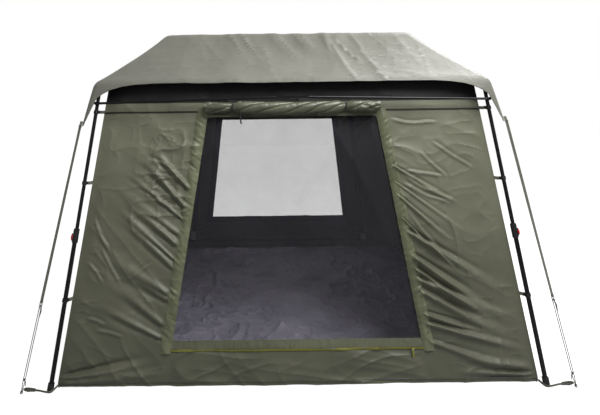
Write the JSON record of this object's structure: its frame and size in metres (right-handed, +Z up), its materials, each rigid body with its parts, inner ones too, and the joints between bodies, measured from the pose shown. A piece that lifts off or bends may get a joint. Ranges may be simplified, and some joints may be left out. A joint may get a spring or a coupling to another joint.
{
  "type": "screen house",
  "caption": "Square screen house: flat-topped fly over a folding hub frame with splayed telescopic legs, fabric walls, mesh door, rolled door, groundsheet and guys.",
  "frame": {"origin": "on the ground, in the middle of the four feet", "axes": "+Z up, -Y towards the door, +X to the right seen from the door"},
  "size_m": [3.2878, 3.008, 2.222],
  "materials": {
    "black_tube": "powder-coated black, satin",
    "black_plastic": "moulded nylon, fine grain",
    "red_plastic": "moulded, slightly glossy",
    "rubber_foot": "matt moulded rubber",
    "olive_canopy": "coated woven polyester, soft sheen",
    "olive_wall": "coated woven polyester, matt",
    "insect_mesh": "fine knitted mesh",
    "groundsheet": "coated, crinkled",
    "webbing": "woven strap and cord",
    "zip_metal": "moulded zip slider"
  },
  "bodies": {
    "ground": {"groundsheet": "groundsheet", "front_wall": "olive_wall", "wall_panels": "olive_wall", "door_roll": "olive_wall"},
    "hub": {"hub": "black_plastic", "canopy": "olive_canopy"},
    "door": {"mesh_door": "insect_mesh"},
    "slider": {"zip_slider": "zip_metal"},
    "inner_arm_front_right": {"inner_arm_front_right": "black_tube", "knee_joint_front_right": "black_plastic"},
    "outer_arm_front_right": {"outer_arm_front_right": "black_tube", "corner_joint_front_right": "black_plastic"},
    "upper_leg_front_right": {"upper_leg_front_right": "black_tube", "leg_clips_front_right": "black_plastic", "guy_front_right": "webbing"},
    "lower_leg_front_right": {"lower_leg_front_right": "black_tube", "lock_collar_front_right": "black_plastic", "lower_clip_front_right": "black_plastic", "foot_front_right": "rubber_foot"},
    "button_front_right": {"lock_button_front_right": "red_plastic"},
    "eave_bar_front_right": {"eave_bar_front_right": "black_tube"},
    "inner_arm_rear_right": {"inner_arm_rear_right": "black_tube", "knee_joint_rear_right": "black_plastic"},
    "outer_arm_rear_right": {"outer_arm_rear_right": "black_tube", "corner_joint_rear_right": "black_plastic"},
    "upper_leg_rear_right": {"upper_leg_rear_right": "black_tube", "leg_clips_rear_right": "black_plastic", "guy_rear_right": "webbing"},
    "lower_leg_rear_right": {"lower_leg_rear_right": "black_tube", "lock_collar_rear_right": "black_plastic", "lower_clip_rear_right": "black_plastic", "foot_rear_right": "rubber_foot"},
    "button_rear_right": {"lock_button_rear_right": "red_plastic"},
    "eave_bar_rear_right": {"eave_bar_rear_right": "black_tube"},
    "inner_arm_rear_left": {"inner_arm_rear_left": "black_tube", "knee_joint_rear_left": "black_plastic"},
    "outer_arm_rear_left": {"outer_arm_rear_left": "black_tube", "corner_joint_rear_left": "black_plastic"},
    "upper_leg_rear_left": {"upper_leg_rear_left": "black_tube", "leg_clips_rear_left": "black_plastic", "guy_rear_left": "webbing"},
    "lower_leg_rear_left": {"lower_leg_rear_left": "black_tube", "lock_collar_rear_left": "black_plastic", "lower_clip_rear_left": "black_plastic", "foot_rear_left": "rubber_foot"},
    "button_rear_left": {"lock_button_rear_left": "red_plastic"},
    "eave_bar_rear_left": {"eave_bar_rear_left": "black_tube"},
    "inner_arm_front_left": {"inner_arm_front_left": "black_tube", "knee_joint_front_left": "black_plastic"},
    "outer_arm_front_left": {"outer_arm_front_left": "black_tube", "corner_joint_front_left": "black_plastic"},
    "upper_leg_front_left": {"upper_leg_front_left": "black_tube", "leg_clips_front_left": "black_plastic", "guy_front_left": "webbing"},
    "lower_leg_front_left": {"lower_leg_front_left": "black_tube", "lock_collar_front_left": "black_plastic", "lower_clip_front_left": "black_plastic", "foot_front_left": "rubber_foot"},
    "button_front_left": {"lock_button_front_left": "red_plastic"},
    "eave_bar_front_left": {"eave_bar_front_left": "black_tube"}
  },
  "joints": [
    {"name": "hub_drop", "type": "slide", "parent": "ground", "child": "hub", "axis": [0, 0, -1], "range_m": [0, 0.74], "deforming": ["canopy", "front_wall", "wall_panels", "door_roll", "mesh_door", "zip_slider"]},
    {"name": "arm_lift_front_right", "type": "hinge", "parent": "hub", "child": "inner_arm_front_right", "pos_m": [0.0601, -0.0601, 2.195], "axis": [-0.7071, -0.7071, 0], "range_deg": [0, 89.9]},
    {"name": "knee_fold_front_right", "type": "hinge", "parent": "inner_arm_front_right", "child": "outer_arm_front_right", "pos_m": [0.84853, -0.84853, 2.18], "axis": [0.7071, 0.7071, 0], "range_deg": [0, 146.21]},
    {"name": "leg_fold_front_right", "type": "hinge", "parent": "outer_arm_front_right", "child": "upper_leg_front_right", "pos_m": [1.24451, -1.24451, 1.83], "axis": [-0.7071, -0.7071, 0], "range_deg": [0, 46.57]},
    {"name": "bar_fold_front_right", "type": "hinge", "parent": "upper_leg_front_right", "child": "eave_bar_front_right", "pos_m": [1.25877, -1.28665, 1.72342], "axis": [0.0029, -0.9918, 0.128], "range_deg": [0, 98.39]},
    {"name": "leg_slide_front_right", "type": "slide", "parent": "upper_leg_front_right", "child": "lower_leg_front_right", "axis": [-0.1266, 0.1266, 0.9838], "range_m": [0, 0.25]},
    {"name": "button_front_right", "type": "slide", "parent": "lower_leg_front_right", "child": "button_front_right", "axis": [-0.6957, 0.6957, -0.179], "range_m": [0, 0.003], "stiffness_N_per_m": 400},
    {"name": "arm_lift_rear_right", "type": "hinge", "parent": "hub", "child": "inner_arm_rear_right", "pos_m": [0.0601, 0.0601, 2.195], "axis": [0.7071, -0.7071, 0], "range_deg": [0, 89.9]},
    {"name": "knee_fold_rear_right", "type": "hinge", "parent": "inner_arm_rear_right", "child": "outer_arm_rear_right", "pos_m": [0.84853, 0.84853, 2.18], "axis": [-0.7071, 0.7071, 0], "range_deg": [0, 146.21]},
    {"name": "leg_fold_rear_right", "type": "hinge", "parent": "outer_arm_rear_right", "child": "upper_leg_rear_right", "pos_m": [1.24451, 1.24451, 1.83], "axis": [0.7071, -0.7071, 0], "range_deg": [0, 46.57]},
    {"name": "bar_fold_rear_right", "type": "hinge", "parent": "upper_leg_rear_right", "child": "eave_bar_rear_right", "pos_m": [1.25877, 1.28665, 1.72342], "axis": [-0.0029, -0.9918, -0.128], "range_deg": [0, 98.39]},
    {"name": "leg_slide_rear_right", "type": "slide", "parent": "upper_leg_rear_right", "child": "lower_leg_rear_right", "axis": [-0.1266, -0.1266, 0.9838], "range_m": [0, 0.25]},
    {"name": "button_rear_right", "type": "slide", "parent": "lower_leg_rear_right", "child": "button_rear_right", "axis": [-0.6957, -0.6957, -0.179], "range_m": [0, 0.003], "stiffness_N_per_m": 400},
    {"name": "arm_lift_rear_left", "type": "hinge", "parent": "hub", "child": "inner_arm_rear_left", "pos_m": [-0.0601, 0.0601, 2.195], "axis": [0.7071, 0.7071, 0], "range_deg": [0, 89.9]},
    {"name": "knee_fold_rear_left", "type": "hinge", "parent": "inner_arm_rear_left", "child": "outer_arm_rear_left", "pos_m": [-0.84853, 0.84853, 2.18], "axis": [-0.7071, -0.7071, 0], "range_deg": [0, 146.21]},
    {"name": "leg_fold_rear_left", "type": "hinge", "parent": "outer_arm_rear_left", "child": "upper_leg_rear_left", "pos_m": [-1.24451, 1.24451, 1.83], "axis": [0.7071, 0.7071, 0], "range_deg": [0, 46.57]},
    {"name": "bar_fold_rear_left", "type": "hinge", "parent": "upper_leg_rear_left", "child": "eave_bar_rear_left", "pos_m": [-1.25877, 1.28665, 1.72342], "axis": [-0.0029, 0.9918, 0.128], "range_deg": [0, 98.39]},
    {"name": "leg_slide_rear_left", "type": "slide", "parent": "upper_leg_rear_left", "child": "lower_leg_rear_left", "axis": [0.1266, -0.1266, 0.9838], "range_m": [0, 0.25]},
    {"name": "button_rear_left", "type": "slide", "parent": "lower_leg_rear_left", "child": "button_rear_left", "axis": [0.6957, -0.6957, -0.179], "range_m": [0, 0.003], "stiffness_N_per_m": 400},
    {"name": "arm_lift_front_left", "type": "hinge", "parent": "hub", "child": "inner_arm_front_left", "pos_m": [-0.0601, -0.0601, 2.195], "axis": [-0.7071, 0.7071, 0], "range_deg": [0, 89.9]},
    {"name": "knee_fold_front_left", "type": "hinge", "parent": "inner_arm_front_left", "child": "outer_arm_front_left", "pos_m": [-0.84853, -0.84853, 2.18], "axis": [0.7071, -0.7071, 0], "range_deg": [0, 146.21]},
    {"name": "leg_fold_front_left", "type": "hinge", "parent": "outer_arm_front_left", "child": "upper_leg_front_left", "pos_m": [-1.24451, -1.24451, 1.83], "axis": [-0.7071, 0.7071, 0], "range_deg": [0, 46.57]},
    {"name": "bar_fold_front_left", "type": "hinge", "parent": "upper_leg_front_left", "child": "eave_bar_front_left", "pos_m": [-1.25877, -1.28665, 1.72342], "axis": [0.0029, 0.9918, -0.128], "range_deg": [0, 98.39]},
    {"name": "leg_slide_front_left", "type": "slide", "parent": "upper_leg_front_left", "child": "lower_leg_front_left", "axis": [0.1266, 0.1266, 0.9838], "range_m": [0, 0.25]},
    {"name": "button_front_left", "type": "slide", "parent": "lower_leg_front_left", "child": "button_front_left", "axis": [0.6957, 0.6957, -0.179], "range_m": [0, 0.003], "stiffness_N_per_m": 400},
    {"name": "door_swing", "type": "hinge", "parent": "upper_leg_front_left", "child": "door", "pos_m": [-0.77, -1.42439, 0.205], "axis": [-0.1484, -0.132, -0.9801], "range_deg": [0, 105]},
    {"name": "zip_run", "type": "slide", "parent": "upper_leg_front_right", "child": "slider", "axis": [1, 0, 0], "range_m": [-1.4, 0]}
  ],
  "couplings": [
    {"joint": "arm_lift_front_right", "follows": "hub_drop", "rad_per_m": 2.1085},
    {"joint": "knee_fold_front_right", "follows": "hub_drop", "rad_per_m": 3.4366},
    {"joint": "leg_fold_front_right", "follows": "hub_drop", "rad_per_m": 1.0866},
    {"joint": "bar_fold_front_right", "follows": "hub_drop", "rad_per_m": 2.3088},
    {"joint": "arm_lift_rear_right", "follows": "hub_drop", "rad_per_m": 2.1085},
    {"joint": "knee_fold_rear_right", "follows": "hub_drop", "rad_per_m": 3.4366},
    {"joint": "leg_fold_rear_right", "follows": "hub_drop", "rad_per_m": 1.0866},
    {"joint": "bar_fold_rear_right", "follows": "hub_drop", "rad_per_m": 2.3088},
    {"joint": "arm_lift_rear_left", "follows": "hub_drop", "rad_per_m": 2.1085},
    {"joint": "knee_fold_rear_left", "follows": "hub_drop", "rad_per_m": 3.4366},
    {"joint": "leg_fold_rear_left", "follows": "hub_drop", "rad_per_m": 1.0866},
    {"joint": "bar_fold_rear_left", "follows": "hub_drop", "rad_per_m": 2.3088},
    {"joint": "arm_lift_front_left", "follows": "hub_drop", "rad_per_m": 2.1085},
    {"joint": "knee_fold_front_left", "follows": "hub_drop", "rad_per_m": 3.4366},
    {"joint": "leg_fold_front_left", "follows": "hub_drop", "rad_per_m": 1.0866},
    {"joint": "bar_fold_front_left", "follows": "hub_drop", "rad_per_m": 2.3088}
  ]
}
